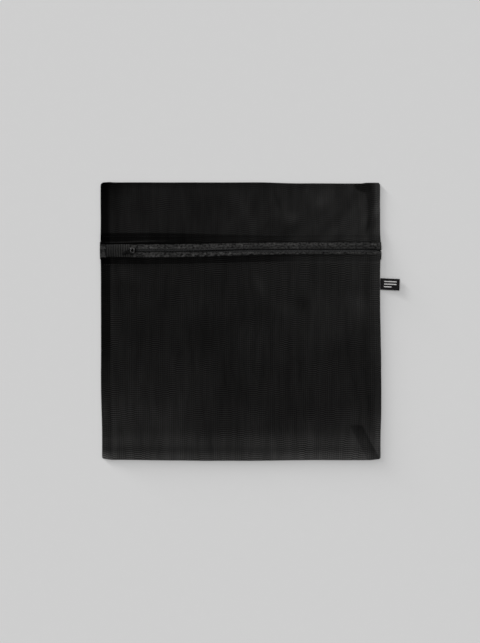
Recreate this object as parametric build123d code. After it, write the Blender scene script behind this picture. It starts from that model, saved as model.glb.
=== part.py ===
from build123d import *
import math
import os

os.makedirs("parts", exist_ok=True)

# A flat zipped mesh laundry bag lying on its back. All sizes are in millimetres.
# Origin: centre of the back sheet's outer face. +X: towards the label. +Y: towards the
# zip and the top fold. +Z: out of the front.

# Whole bag
BAG_SIZE = 400.0
HALF = BAG_SIZE / 2
MESH = 0.5
EDGE_BEVEL = 20.0
PLATEAU_Z = 6.05
SIDE_EDGE_Z = 1.25
ZIP_END_Z = 2.35
FOLD_DROP = 0.7
PLATEAU = HALF - EDGE_BEVEL

# Zip line
CHAIN_Y = 101.8
TAPE_Z = 5.0
TAPE_THICK = 0.5
TAPE_END_Z = 1.3
TAPE_HALF_WIDTH = 12.5
TAPE_GAP = 0.9
LOWER_EDGE_Y = 92.0
UPPER_EDGE_Y = 111.0
LEVEL_END_Y = 115.0
HEM_WIDTH = 11.0
HEM_Z = 5.6
HEM_THICK = 0.4
HEM_END_Z = 1.85
FLAP_HALF = 140.0
JOINT_GAP = 0.4

# Coils
COIL_PITCH = 1.4
COIL_TOOTH = 0.4
COIL_REACH = 0.35
COIL_ROOT = 0.9
COIL_BACK = 2.25
COIL_HEIGHT = 1.7
COIL_PARTING = 1.3

# Slider and pull
SLIDER_X = -154.2
SLIDER_LENGTH = 8.5
SLIDER_TAIL = 6.8
SLIDER_NOSE = 8.6
SLIDER_PLATE = 0.7
SLIDER_TOP_Z = 7.5
SLIDER_BOTTOM_Z = 4.0
POST_X = -3.1
BAIL_X = -1.2
BAIL_LENGTH = 5.6
BAIL_WIDTH = 1.4
PIVOT_Z = 9.2
PULL_LENGTH = 15.5
PULL_WIDTH = 5.5
PULL_THICK = 0.9
PULL_LEAN = 20.0
PULL_DIP = 2.5

# Elastic band over the end of the zip
BAND_X0 = -193.0
BAND_X1 = -158.9
BAND_THICK = 0.45

# Side seams
ALLOWANCE = 14.0
ALLOWANCE_Z = 0.6
ALLOWANCE_THICK = 0.5

# Label
LABEL_X = HALF + 0.7
LABEL_END = 228.5
LABEL_WIDTH = 16.4
LABEL_Y = 54.1
LABEL_SKEW = -2.6
LABEL_Z = 1.2
LABEL_THICK = 0.6
RIBBON = 0.25


def sheet(xs, ys, under, thickness):
    """Closed thin sheet over a grid of points, with under(x, y) as its lower face."""
    def level(lift):
        return [[Vector(x, y, under(x, y) + lift) for x in xs] for y in ys]

    low = level(0)
    high = level(thickness)
    columns = len(xs) - 1
    rows = len(ys) - 1
    loops = []
    for grid in (low, high):
        for j in range(rows):
            for i in range(columns):
                a, b = grid[j][i], grid[j][i + 1]
                c, d = grid[j + 1][i + 1], grid[j + 1][i]
                if a.Z + c.Z >= b.Z + d.Z:
                    loops += [(a, b, c), (a, c, d)]
                else:
                    loops += [(a, b, d), (b, c, d)]
    for i in range(columns):
        for j in (0, rows):
            loops.append((low[j][i], low[j][i + 1], high[j][i + 1], high[j][i]))
    for j in range(rows):
        for i in (0, columns):
            loops.append((low[j][i], low[j + 1][i], high[j + 1][i], high[j][i]))
    faces = [Face(Wire.make_polygon(loop, close=True)) for loop in loops]
    return Solid(Shell(faces))


def prism(points, plane, depth):
    """Straight prism on a closed outline; plane names the outline's plane."""
    face = make_face(plane * Polyline(*points, close=True))
    return extrude(face, depth, dir=plane.z_dir)


def block(x0, x1, y0, y1, z0, z1):
    """Box between two corners."""
    size = Box(x1 - x0, y1 - y0, z1 - z0)
    return Pos((x0 + x1) / 2, (y0 + y1) / 2, (z0 + z1) / 2) * size


def across(x, middle, edge):
    """Height across the bag: level to the bevel, then straight down to the side edge."""
    return middle + (edge - middle) * max(0.0, abs(x) - PLATEAU) / EDGE_BEVEL


def strip(x0, x1, y0, y1, middle, edge, thickness):
    """Thin strip along X that follows the bag's bevelled ends."""
    bends = [x for x in (-PLATEAU, PLATEAU) if x0 < x < x1]
    xs = [x0, *bends, x1]
    return sheet(xs, [y0, y1], lambda x, y: across(x, middle, edge), thickness)


def both_ends(make, outer):
    """The left and right end pieces beside the lifting middle of the mouth edge."""
    inner = FLAP_HALF + JOINT_GAP / 2
    return [make(-outer, -inner), make(inner, outer)]


# Mesh sheets

def front_height(x, y):
    """Underside of the front sheet."""
    if y <= -HALF:
        return MESH + 0.1
    if y < -PLATEAU:
        return SIDE_EDGE_Z
    edge = ZIP_END_Z if y >= LOWER_EDGE_Y - HEM_WIDTH - 1 else SIDE_EDGE_Z
    return across(x, PLATEAU_Z, edge)


def upper_height(x, y):
    """Underside of the sheet between the zip and the top fold."""
    run = max(0.0, y - LEVEL_END_Y) / (HALF - 1 - LEVEL_END_Y)
    middle = PLATEAU_Z + (SIDE_EDGE_Z - PLATEAU_Z) * run
    edge = ZIP_END_Z if y <= UPPER_EDGE_Y + HEM_WIDTH + 1 else SIDE_EDGE_Z
    return across(x, middle, min(edge, middle))


def front_panel():
    """Front sheet from the bottom fold to the zip, bevelled at its sides and bottom."""
    xs = [-HALF, -PLATEAU, PLATEAU, HALF]
    hem_start = LOWER_EDGE_Y - HEM_WIDTH - 1
    ys = [-HALF, -HALF + FOLD_DROP, -PLATEAU, hem_start - 18, hem_start, LOWER_EDGE_Y]
    return sheet(xs, ys, front_height, MESH)


def upper_end(x0, x1):
    """One end of the sheet between the zip and the top fold."""
    bend = PLATEAU if x0 > 0 else -PLATEAU
    hem_end = UPPER_EDGE_Y + HEM_WIDTH + 1
    ys = [UPPER_EDGE_Y, LEVEL_END_Y, hem_end, hem_end + 18, HALF - 1]
    return sheet(sorted([x0, bend, x1]), ys, upper_height, MESH)


def flap_panel():
    """Lifting middle of that sheet, with a rolled edge about the top fold."""
    half = FLAP_HALF - JOINT_GAP / 2
    roll_y = HALF - 1.5
    roll_z = SIDE_EDGE_Z + MESH / 2
    panel = sheet([-half, half], [UPPER_EDGE_Y, LEVEL_END_Y, roll_y], upper_height, MESH)
    roll = Rot(0, 90, 0) * Cylinder(0.45, 2 * half)
    return panel + Pos(0, roll_y, roll_z) * roll


# Turned hems and their threads

def hem(x0, x1, y0, y1):
    """Turned layer under the edge of a front sheet."""
    return strip(x0, x1, y0, y1, HEM_Z, HEM_END_Z, HEM_THICK)


def upper_hem(x0, x1):
    """Turned layer of the upper mouth edge, following the sloping sheet above it."""
    def under(x, y):
        return upper_height(x, y) - HEM_THICK - 0.05

    bends = [x for x in (-PLATEAU, PLATEAU) if x0 < x < x1]
    ys = [UPPER_EDGE_Y, LEVEL_END_Y, UPPER_EDGE_Y + HEM_WIDTH]
    return sheet([x0, *bends, x1], ys, under, HEM_THICK)


def stitch_row(x0, x1, y, base):
    """One row of lockstitches: raised stitches joined by the sunk part of the thread."""
    stitch = 2.6
    pitch = 3.4
    outline = [(x0, base)]
    count = int((x1 - x0) / pitch)
    start = (x0 + x1 - count * pitch) / 2
    for n in range(count):
        left = start + n * pitch + (pitch - stitch) / 2
        outline += [(left, base + 0.06), (left + 0.35, base + 0.3)]
        outline += [(left + stitch - 0.35, base + 0.3), (left + stitch, base + 0.06)]
    outline.append((x1, base))
    return prism(outline, Plane.XZ.offset(-y - 0.25), 0.5)


def lower_threads():
    """Hem row and tape row of the lower mouth edge."""
    top = PLATEAU_Z + MESH
    rows = [LOWER_EDGE_Y - HEM_WIDTH + 0.4, LOWER_EDGE_Y - 1.5]
    return [stitch_row(-PLATEAU, PLATEAU, y, top) for y in rows]


def upper_threads(x0, x1):
    """Hem row and tape row of the upper mouth edge."""
    rows = [UPPER_EDGE_Y + HEM_WIDTH - 0.4, UPPER_EDGE_Y + 1.5]
    return [stitch_row(x0, x1, y, upper_height(0, y) + MESH + 0.02) for y in rows]


# Zip tapes and coils

def tape(x0, x1, side):
    """Woven tape on one side of the chain; side is -1 below it and +1 above it."""
    ys = sorted([CHAIN_Y + side * TAPE_GAP, CHAIN_Y + side * TAPE_HALF_WIDTH])
    return strip(x0, x1, ys[0], ys[1], TAPE_Z, TAPE_END_Z, TAPE_THICK)


def coil(x0, x1, side):
    """Run of coil: a back rail with teeth that reach past the chain's centre line.
    The teeth of the two sides alternate. Beyond the slider's nose the coil is parted."""
    parted_x = SLIDER_X + POST_X + 1.3
    shift = 0 if side < 0 else COIL_PITCH / 2

    def offset(x):
        return COIL_PARTING if x < parted_x else 0.0

    first = math.ceil((x0 + 0.3 - shift) / COIL_PITCH)
    last = math.floor((x1 - 0.3 - COIL_TOOTH - shift) / COIL_PITCH)
    outline = [(x0, COIL_ROOT + offset(x0))]
    for n in range(first, last + 1):
        left = n * COIL_PITCH + shift
        back = offset(left)
        outline += [(left, COIL_ROOT + back), (left, back - COIL_REACH)]
        outline += [(left + COIL_TOOTH, back - COIL_REACH), (left + COIL_TOOTH, COIL_ROOT + back)]
    outline.append((x1, COIL_ROOT + offset(x1)))
    outline.append((x1, COIL_BACK + offset(x1)))
    if offset(x0) and not offset(x1):
        outline += [(parted_x + 0.3, COIL_BACK), (parted_x - 0.8, COIL_BACK + COIL_PARTING)]
    outline.append((x0, COIL_BACK + offset(x0)))
    points = [(x, CHAIN_Y + side * y) for x, y in outline]
    return prism(points, Plane.XY.offset(TAPE_Z + TAPE_THICK + 0.02), COIL_HEIGHT)


# Slider and pull

def slider_body():
    """Slider of two plates, two flanges, a parting post and a bail on top."""
    half = SLIDER_LENGTH / 2
    tail = SLIDER_TAIL / 2
    nose = SLIDER_NOSE / 2
    side = [(half, tail), (-0.8, tail + 0.1), (-2.6, nose), (-half, nose - 1.1)]
    outline = side + [(x, -y) for x, y in reversed(side)]
    plates = [
        prism(outline, Plane.XY.offset(SLIDER_TOP_Z), SLIDER_PLATE),
        prism(outline, Plane.XY.offset(SLIDER_BOTTOM_Z), SLIDER_PLATE),
    ]
    flange_z = TAPE_Z + TAPE_THICK + 0.3
    flanges = [
        block(-1.4, half, min(s * tail, s * (tail - 0.8)), max(s * tail, s * (tail - 0.8)),
              flange_z, SLIDER_TOP_Z)
        for s in (-1, 1)
    ]
    post_outline = [(-0.75, 0), (0, 0.6), (0.75, 0), (0, -0.6)]
    post_outline = [(POST_X + x, y) for x, y in post_outline]
    post_height = SLIDER_TOP_Z - SLIDER_BOTTOM_Z
    post = prism(post_outline, Plane.XY.offset(SLIDER_BOTTOM_Z), post_height)
    top = SLIDER_TOP_Z + SLIDER_PLATE
    reach = BAIL_LENGTH / 2
    arch = [(-reach, top), (-reach, 9.6), (-reach + 0.9, 10.5), (reach - 0.9, 10.5),
            (reach, 9.6), (reach, top), (reach - 0.8, top), (reach - 0.8, 9.5),
            (reach - 1.2, 9.95), (-reach + 1.2, 9.95), (-reach + 0.8, 9.5), (-reach + 0.8, top)]
    bail = prism(arch, Plane.XZ.offset(-BAIL_WIDTH / 2), BAIL_WIDTH)
    body = plates[0] + plates[1] + post + Pos(BAIL_X, 0, 0) * bail
    for flange in flanges:
        body += flange
    return Pos(SLIDER_X, CHAIN_Y, 0) * body


def pull_tab():
    """Flat pull with an eye whose bar runs through the bail."""
    half = PULL_WIDTH / 2
    bar = PULL_THICK / 2
    outline = [(0, half), (4.4, half), (PULL_LENGTH - 1.6, half - 0.3), (PULL_LENGTH, half - 1.5)]
    outline += [(x, -y) for x, y in reversed(outline)]
    plate = prism(outline, Plane.XY.offset(-bar), PULL_THICK)
    plate -= block(bar, 3.6, -half + 0.7, half - 0.7, -1, 1)
    plate -= block(-1, bar, -half - 1, half + 1, -1, 1)
    rod = Rot(90, 0, 0) * Cylinder(bar, PULL_WIDTH)
    arms = [block(0, bar + 0.1, y, y + 0.7, -bar, bar) for y in (-half, half - 0.7)]
    grip = block(PULL_LENGTH - 8.3, PULL_LENGTH - 2.6, -1.35, 1.35, 0, bar + 0.25)
    pull = plate + rod + arms[0] + arms[1] + grip
    lean = Rot(0, 0, 180 + PULL_LEAN) * Rot(0, PULL_DIP, 0)
    return Pos(SLIDER_X + BAIL_X, CHAIN_Y, PIVOT_Z) * lean * pull


# Elastic band and bar tacks

def elastic_garage():
    """Elastic band arched over the parted end of the chain, between the hem edges."""
    low = TAPE_Z + TAPE_THICK + 0.05
    crown = low + 1.8
    left = LOWER_EDGE_Y + 0.2
    right = UPPER_EDGE_Y - 0.2
    arch = [(left, low), (CHAIN_Y - 4.2, crown), (CHAIN_Y + 4.2, crown), (right, low)]
    lifted = [(y, z + BAND_THICK) for y, z in reversed(arch)]
    band = prism(arch + lifted, Plane.YZ.offset(-PLATEAU), BAND_X1 + PLATEAU)
    drop = (PLATEAU_Z - ZIP_END_Z) / EDGE_BEVEL * (-PLATEAU - BAND_X0)
    near = Plane.YZ.offset(-PLATEAU) * make_face(Polyline(*(arch + lifted), close=True))
    far_points = [(y, z - drop) for y, z in arch + lifted]
    far = Plane.YZ.offset(BAND_X0) * make_face(Polyline(*far_points, close=True))
    slope = loft([far, near], ruled=True)
    return band + slope


def bartack(y):
    """Dense bar of stitches across the tape beside the band's outer end."""
    x0 = BAND_X0 - 1.9
    x1 = BAND_X0 - 0.3
    base = across(x1, TAPE_Z, TAPE_END_Z) + TAPE_THICK + 0.05
    return block(x0, x1, y - 2.1, y + 2.1, base, base + 0.8)


# Side seams

def seam_allowance(side):
    """Seam allowance of one side, lying inside the bag along the seam."""
    inner = side * (HALF - ALLOWANCE)
    xs = sorted([inner, side * HALF])
    top = ALLOWANCE_Z + ALLOWANCE_THICK
    return block(xs[0], xs[1], -HALF + 1.2, HALF - 1.2, ALLOWANCE_Z, top)


def seam_thread(side):
    """Overlock thread along the allowance's cut edge."""
    inner = side * (HALF - ALLOWANCE)
    xs = sorted([inner - side * 0.1, inner - side * 0.9])
    top = ALLOWANCE_Z + ALLOWANCE_THICK
    return block(xs[0], xs[1], -HALF + 3, HALF - 3, ALLOWANCE_Z, top + 0.1)


def corner_seam_tail():
    """Loose end of the right seam allowance, turned up inside the bottom corner."""
    z0 = ALLOWANCE_Z + ALLOWANCE_THICK + 0.15
    outline = [(155.6, -147.7), (172.8, -147.7), (194.6, -192.6), (177.5, -192.6)]
    return prism(outline, Plane.XY.offset(z0), 0.5)


# Label

def skewed(shape):
    """Turn a label piece to its lean and cut it clear of the seam."""
    turned = Pos(HALF, LABEL_Y, 0) * Rot(0, 0, LABEL_SKEW) * shape
    return turned & block(LABEL_X, LABEL_X + 60, 0, 100, -5, 20)


def label_fold():
    """Ribbon folded in two, its fold at the outer end."""
    z0 = LABEL_Z - LABEL_THICK / 2
    z1 = LABEL_Z + LABEL_THICK / 2
    end = LABEL_END - HALF
    outline = [(-2, z0), (end - 0.3, z0), (end, z0 + 0.3), (end - 0.3, z1), (-2, z1),
               (-2, z1 - RIBBON), (end - 0.6, z1 - RIBBON), (end - 0.6, z0 + RIBBON),
               (-2, z0 + RIBBON)]
    ribbon = prism(outline, Plane.XZ.offset(-LABEL_WIDTH / 2), LABEL_WIDTH)
    return skewed(ribbon)


def label_mark():
    """Plain bars woven into the label's face."""
    z0 = LABEL_Z + LABEL_THICK / 2 + 0.01
    bars = [(6.0, 24.0, 3.8), (6.0, 24.0, 0.0), (6.0, 17.0, -3.8)]
    return [skewed(block(x0, x1, y - 0.75, y + 0.75, z0, z0 + 0.1)) for x0, x1, y in bars]


def save(name, pieces):
    """Write one node, as a single solid or as a group of like solids."""
    solids = []
    for piece in pieces:
        solids += list(piece.solids())
    shape = solids[0] if len(solids) == 1 else Compound(children=solids)
    export_step(shape, "parts/" + name + ".step")


FLAP_X = FLAP_HALF - JOINT_GAP / 2
TAPE_OUTER = HALF - 0.4
LOWER_HEM_Y = LOWER_EDGE_Y - HEM_WIDTH

NODES = {
    "back_panel": [block(-HALF, HALF, -HALF, HALF, 0, MESH)],
    "front_panel": [front_panel()],
    "flap_panel": [flap_panel()],
    "upper_panel_ends": both_ends(upper_end, HALF),
    "left_seam_allowance": [seam_allowance(-1)],
    "right_seam_allowance": [seam_allowance(1)],
    "corner_seam_tail": [corner_seam_tail()],
    "left_seam_thread": [seam_thread(-1)],
    "right_seam_thread": [seam_thread(1)],
    "lower_hem": [hem(-TAPE_OUTER, TAPE_OUTER, LOWER_HEM_Y, LOWER_EDGE_Y)],
    "upper_hem": [upper_hem(-FLAP_X, FLAP_X)],
    "upper_hem_ends": both_ends(upper_hem, TAPE_OUTER),
    "lower_hem_thread": lower_threads(),
    "upper_hem_thread": upper_threads(-FLAP_X, FLAP_X),
    "upper_hem_thread_ends": both_ends(upper_threads, PLATEAU),
    "lower_tape": [tape(-HALF - 0.6, TAPE_OUTER, -1)],
    "upper_tape": [tape(-FLAP_X, FLAP_X, 1)],
    "upper_tape_ends": both_ends(lambda a, b: tape(a, b, 1), TAPE_OUTER),
    "lower_coil": [coil(-PLATEAU, PLATEAU, -1)],
    "upper_coil": [coil(-FLAP_X, FLAP_X, 1)],
    "upper_coil_ends": both_ends(lambda a, b: coil(a, b, 1), PLATEAU),
    "elastic_garage": [elastic_garage()],
    "garage_bartacks": [bartack(CHAIN_Y + 5.8), bartack(CHAIN_Y - 4.2)],
    "slider_body": [slider_body()],
    "pull_tab": [pull_tab()],
    "label_fold": [label_fold()],
    "label_mark": label_mark(),
}

for name, pieces in NODES.items():
    flat = []
    for piece in pieces:
        flat += piece if isinstance(piece, list) else [piece]
    save(name, flat)
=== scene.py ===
import bmesh
import bpy
import math
from mathutils import Matrix, Vector, noise


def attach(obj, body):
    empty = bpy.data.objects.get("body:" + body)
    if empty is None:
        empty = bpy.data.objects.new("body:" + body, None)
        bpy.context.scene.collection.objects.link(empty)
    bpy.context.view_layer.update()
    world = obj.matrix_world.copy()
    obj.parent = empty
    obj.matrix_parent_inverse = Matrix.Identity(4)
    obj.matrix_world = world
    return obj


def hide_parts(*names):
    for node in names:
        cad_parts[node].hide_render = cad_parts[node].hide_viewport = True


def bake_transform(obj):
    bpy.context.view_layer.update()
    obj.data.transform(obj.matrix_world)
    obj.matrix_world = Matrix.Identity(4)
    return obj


# A zipped mesh laundry bag lying flat on its back. Lengths below are in millimetres in
# the part's frame and are scaled to metres when a mesh is made.

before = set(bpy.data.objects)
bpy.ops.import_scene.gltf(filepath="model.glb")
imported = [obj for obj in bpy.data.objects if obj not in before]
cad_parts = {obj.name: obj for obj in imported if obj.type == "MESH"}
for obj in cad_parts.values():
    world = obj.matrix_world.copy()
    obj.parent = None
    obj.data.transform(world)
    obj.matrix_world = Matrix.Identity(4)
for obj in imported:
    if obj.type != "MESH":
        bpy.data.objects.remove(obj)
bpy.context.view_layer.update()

MM = 0.001
TAU = 2 * math.pi

HALF = 200.0
LEVEL_HALF = 180.0
CHAIN_Y = 101.8
LOWER_EDGE = 92.0
UPPER_EDGE = 111.0
HEM = 11.0
TOP_FOLD = 198.5
COIL_PITCH = 1.4
PARTED_X = -156.6
BAND_X0 = -193.2
BAND_X1 = -158.9
BAND_THICK = 0.4
PIVOT = Vector((-155.4, 101.8, 9.2))
SLIDER_X = -154.2
TAPE_EDGE = 12.5
TAPE_INNER = 0.9
TAPE_THICK = 0.46
TAPE_MIDDLE_Z = 5.25
TAPE_REACH = 200.8
SHEET_THICK = 0.36
HEM_THICK = 0.34
HEM_GAP = 0.42
END_DROP = 3.7
ALLOWANCE = 14.0
SEAM_Z = 0.95
ROLL = 0.9
SHARP_ANGLE = 25.0
BEVEL_STEPS = 3
BAIL_SIDES = 12
STITCH = 2.6
STITCH_PITCH = 3.4
HOLE_ROWS = 1.5
WHITE = (1.0, 1.0, 1.0)
WARM = (1.0, 0.985, 0.97)


# ---------------- small maths

def clamp(value):
    return max(0.0, min(1.0, value))


def smooth(value):
    t = clamp(value)
    return t * t * (3 - 2 * t)


def rough(x, y, scale, seed=0.0):
    """Smooth random value from -1 to 1 that changes over about scale millimetres."""
    return noise.noise(Vector((x / scale + seed * 7.3, y / scale - seed * 3.1, seed)))


def spread(low, high, step):
    """Evenly spaced numbers from low to high, about step apart."""
    count = max(1, round((high - low) / step))
    return [low + (high - low) * n / count for n in range(count + 1)]


# ---------------- shape of the bag

def warp(x, y):
    """Where a point of the flat square really lies: soft corners and uneven edges."""
    radius = 5.0 if x < 0 < y else 3.0
    px = max(0.0, abs(x) - (HALF - radius)) / radius
    py = max(0.0, abs(y) - (HALF - radius)) / radius
    if px > 0 and py > 0:
        nx = px * math.sqrt(max(0.0, 1 - py * py / 2))
        ny = py * math.sqrt(max(0.0, 1 - px * px / 2))
        x = math.copysign(HALF - radius + radius * nx, x)
        y = math.copysign(HALF - radius + radius * ny, y)
    side = smooth((abs(x) - 120) / 80)
    end = smooth((abs(y) - 120) / 80)
    if x > 0:
        dx = 0.1 + 1.7 * smooth((60 - y) / 140) - 1.2 * smooth((-120 - y) / 70)
        dx += 1.3 * math.exp(-((y - 105) / (15 if y > 105 else 24)) ** 2)
    else:
        dx = 1.6 * smooth((-70 - y) / 110) - 1.3 + 0.5 * smooth((90 - y) / 40)
        dx -= 0.3 * math.exp(-((y - 102) / 13) ** 2)
    dx = side * (dx + 0.25 * rough(0, y, 30, 1 if x > 0 else 2))
    if y > 0:
        dy = 0.25 * rough(x, 0, 48, 3) - 1.5 * smooth((x - 25) / 60)
        dy += 1.0 * smooth((x - 172) / 10) * smooth((202 - x) / 4)
        dy += 0.5 * math.exp(-((x + 188) / 5) ** 2)
    else:
        dy = 0.4 * rough(x, 0, 48, 4) + 0.8 * smooth((x - 30) / 50)
        dy += 1.4 * smooth((-60 - x) / 120) + 1.4 * smooth((abs(x) - 184) / 14)
    dy *= end
    lift = 4.4 - 2.0 * smooth((y - LOWER_EDGE) / (UPPER_EDGE - LOWER_EDGE))
    near = smooth((y - 30) / 60) * smooth((172 - y) / 58)
    dy += lift * near * smooth((x + 130) / 220)
    return x + dx, y + dy


def down(x):
    """How far x lies into the bend towards a side seam: 0 on the level, 1 at the seam."""
    return clamp((abs(x) - LEVEL_HALF + 3) / 23)


def drop(x):
    """How far the zip's layers have come down at x, where they bend to the side seams."""
    return END_DROP * (1 - math.cos(math.pi * down(x))) / 2


def swell(gap, reach):
    """Rise of the cloth at a distance from a seam: 0 at the seam and 1 past reach."""
    return 1 - (1 - clamp(gap / reach)) ** 2.1


def folds(x, y):
    """Gentle folds and puckers of the loose mesh."""
    calm = smooth((HALF - abs(x)) / 30) * smooth((HALF - abs(y)) / 30)
    z = 0.55 * rough(x, y, 85, 5) + 0.28 * rough(x * 1.3, y * 0.6, 34, 6)
    z += 0.22 * math.sin((x + y * 0.35) / 17 + 2.0 * rough(x, y, 120, 7))
    return calm * z


def seam_puckers(gap, along, seed):
    """Small puckers that die away from a seam."""
    wave = math.sin(TAU * along / (9.5 + 2.5 * rough(along, 0, 70, seed)))
    return 0.2 * wave * math.exp(-gap / 9.0) * smooth(gap / 2.5)


def front_z(x, y):
    """Middle of the front sheet."""
    side = HALF - abs(x)
    bottom = y + HALF
    rise = swell(side, 27) * swell(bottom, 25)
    near_zip = smooth((y - (LOWER_EDGE - 62)) / 50)
    loose = 1.4 + (3.5 + folds(x, y)) * rise
    loose += seam_puckers(side, y, 8) + seam_puckers(bottom, x, 9)
    tight = 6.3 - drop(x)
    return loose + (tight - loose) * near_zip


def upper_z(x, y):
    """Middle of the sheet between the zip and the top fold."""
    run = clamp((y - 115) / (TOP_FOLD + 0.5 - 115))
    middle = 6.3 - 4.8 * run + 0.5 * math.sin(math.pi * run) * folds(x, y)
    edge = 2.6 - 1.1 * smooth((y - 123) / 18)
    level = 1 - down(x)
    share = (1 - math.cos(math.pi * level)) / 2
    z = min(edge, middle) + (middle - min(edge, middle)) * share
    return z + 0.15 * seam_puckers(max(0.0, TOP_FOLD - y), x, 10)


# ---------------- meshes

def link(name, mesh):
    """Smooth-shaded object of a mesh, put into the scene."""
    mesh.polygons.foreach_set("use_smooth", [True] * len(mesh.polygons))
    mesh.update()
    obj = bpy.data.objects.new(name, mesh)
    bpy.context.scene.collection.objects.link(obj)
    return obj


def link_solid(name, bm):
    """Object of a bmesh, which is freed."""
    mesh = bpy.data.meshes.new(name)
    bm.to_mesh(mesh)
    bm.free()
    return link(name, mesh)


def new_object(name, points, faces, uvs, tones=None, normals=None):
    """Mesh object from points in millimetres; uvs, tones and normals go by point."""
    mesh = bpy.data.meshes.new(name)
    mesh.from_pydata([tuple(c * MM for c in p) for p in points], [], faces)
    layer = mesh.uv_layers.new(name="cloth")
    for loop in mesh.loops:
        layer.data[loop.index].uv = uvs[loop.vertex_index]
    if tones:
        tone = mesh.attributes.new("tone", "FLOAT", "POINT")
        for index, value in enumerate(tones):
            tone.data[index].value = value
    obj = link(name, mesh)
    if normals:
        mesh.normals_split_custom_set_from_vertices(normals)
    return obj


def shell(name, rows, thickness, uvs, tones=None, facing=None):
    """Closed thin cloth about a grid of middle points, given row by row."""
    height, width = len(rows), len(rows[0])
    grid = [[Vector(p) for p in row] for row in rows]
    upper, lower, normals = [], [], []
    for j in range(height):
        for i in range(width):
            if facing:
                normal = facing[j][i]
            else:
                east = grid[j][min(i + 1, width - 1)] - grid[j][max(i - 1, 0)]
                north = grid[min(j + 1, height - 1)][i] - grid[max(j - 1, 0)][i]
                normal = east.cross(north).normalized()
            normals.append(normal)
            upper.append(grid[j][i] + normal * (thickness / 2))
            lower.append(grid[j][i] - normal * (thickness / 2))
    count = height * width
    faces = []
    for j in range(height - 1):
        for i in range(width - 1):
            a, b = j * width + i, j * width + i + 1
            c, d = b + width, a + width
            faces.append((a, b, c, d))
            faces.append((count + d, count + c, count + b, count + a))
    rim = [(j, 0) for j in range(height - 1, 0, -1)]
    rim += [(0, i) for i in range(width - 1)]
    rim += [(j, width - 1) for j in range(height - 1)]
    rim += [(height - 1, i) for i in range(width - 1, 0, -1)]
    ring = [j * width + i for j, i in rim]
    for n, a in enumerate(ring):
        b = ring[(n + 1) % len(ring)]
        faces.append((b, a, count + a, count + b))
    flat_uvs = [uv for row in uvs for uv in row]
    flat_tones = [t for row in tones for t in row] if tones else None
    both = normals + [-n for n in normals] if facing else None
    return new_object(name, upper + lower, faces, flat_uvs * 2,
                      flat_tones * 2 if flat_tones else None, both)


def cloth(name, xs, ys, height, thickness, tone=None, move=warp):
    """Sheet over a plan grid; its weave follows the flat cut."""
    def point(x, y):
        return Vector((*move(x, y), height(x, y)))

    def facing(x, y):
        east = point(x + 0.6, y) - point(x - 0.6, y)
        north = point(x, y + 0.6) - point(x, y - 0.6)
        return east.cross(north).normalized()

    rows = [[point(x, y) for x in xs] for y in ys]
    normals = [[facing(x, y) for x in xs] for y in ys]
    uvs = [[(x * MM, y * MM) for x in xs] for y in ys]
    tones = [[tone(x, y) for x in xs] for y in ys] if tone else None
    return shell(name, rows, thickness, uvs, tones, normals)


def strip(name, outer, inner, place, thickness, tone=None):
    """Thin strip; place gives each grid point and its spot on the flat cut."""
    grid = [[place(a, b) for b in inner] for a in outer]
    rows = [[point for point, _ in row] for row in grid]
    uvs = [[(u * MM, v * MM) for _, (u, v) in row] for row in grid]
    tones = [[tone] * len(inner) for _ in outer] if tone else None
    return shell(name, rows, thickness, uvs, tones)


def tube(path, radius, sides, points, faces, uvs):
    """Adds a round wire along a path to points and faces, with caps at its ends."""
    first = len(points)
    count = len(path)
    along = 0.0
    before = None
    up = None
    for n, here in enumerate(path):
        ahead = path[min(n + 1, count - 1)]
        behind = path[max(n - 1, 0)]
        heading = (ahead - behind).normalized()
        if up is None:
            up = Vector((0, 0, 1)) if abs(heading.z) < 0.9 else Vector((0, 1, 0))
        side = heading.cross(up).normalized()
        up = side.cross(heading).normalized()
        r = radius(n / max(1, count - 1)) if callable(radius) else radius
        if before is not None:
            along += (here - before).length
        before = here
        for k in range(sides):
            turn = TAU * k / sides
            points.append(here + side * (r * math.cos(turn)) + up * (r * math.sin(turn)))
            uvs.append((along * MM, k / sides * 0.002))
    for n in range(count - 1):
        a = first + n * sides
        b = a + sides
        for k in range(sides):
            m = (k + 1) % sides
            faces.append((a + k, a + m, b + m, b + k))
    faces.append(tuple(first + k for k in reversed(range(sides))))
    last = first + (count - 1) * sides
    faces.append(tuple(last + k for k in range(sides)))


def wires(name, paths, radius, sides=6, tone=None):
    """One object of many wires."""
    points, faces, uvs = [], [], []
    for path in paths:
        tube([Vector(p) for p in path], radius, sides, points, faces, uvs)
    tones = [tone(p.x, p.y) for p in points] if tone else None
    return new_object(name, points, faces, uvs, tones)


def solid_from_outline(bm, outline, z0, z1, holes=()):
    """Prism on an XY outline with optional holes, added to a bmesh."""
    loops = [outline, *holes]
    edges = []
    for loop in loops:
        verts = [bm.verts.new((x * MM, y * MM, z0 * MM)) for x, y in loop]
        edges += [bm.edges.new((verts[n], verts[(n + 1) % len(verts)])) for n in range(len(verts))]
    made = bmesh.ops.triangle_fill(bm, use_beauty=True, use_dissolve=True, edges=edges)
    faces = [g for g in made["geom"] if isinstance(g, bmesh.types.BMFace)]
    lifted = bmesh.ops.extrude_face_region(bm, geom=faces)
    verts = [g for g in lifted["geom"] if isinstance(g, bmesh.types.BMVert)]
    bmesh.ops.translate(bm, verts=verts, vec=(0, 0, (z1 - z0) * MM))


def finish_solid(name, bm, bevel):
    """Bevels the sharp edges of a bmesh and makes an object of it."""
    bmesh.ops.remove_doubles(bm, verts=bm.verts, dist=1e-7)
    bmesh.ops.recalc_face_normals(bm, faces=bm.faces)
    sharp = [e for e in bm.edges
             if len(e.link_faces) == 2 and e.calc_face_angle(0) > math.radians(SHARP_ANGLE)]
    bmesh.ops.bevel(bm, geom=sharp, offset=bevel * MM, offset_type="OFFSET",
                    segments=BEVEL_STEPS, profile=0.5, affect="EDGES", clamp_overlap=True)
    return link_solid(name, bm)


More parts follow.
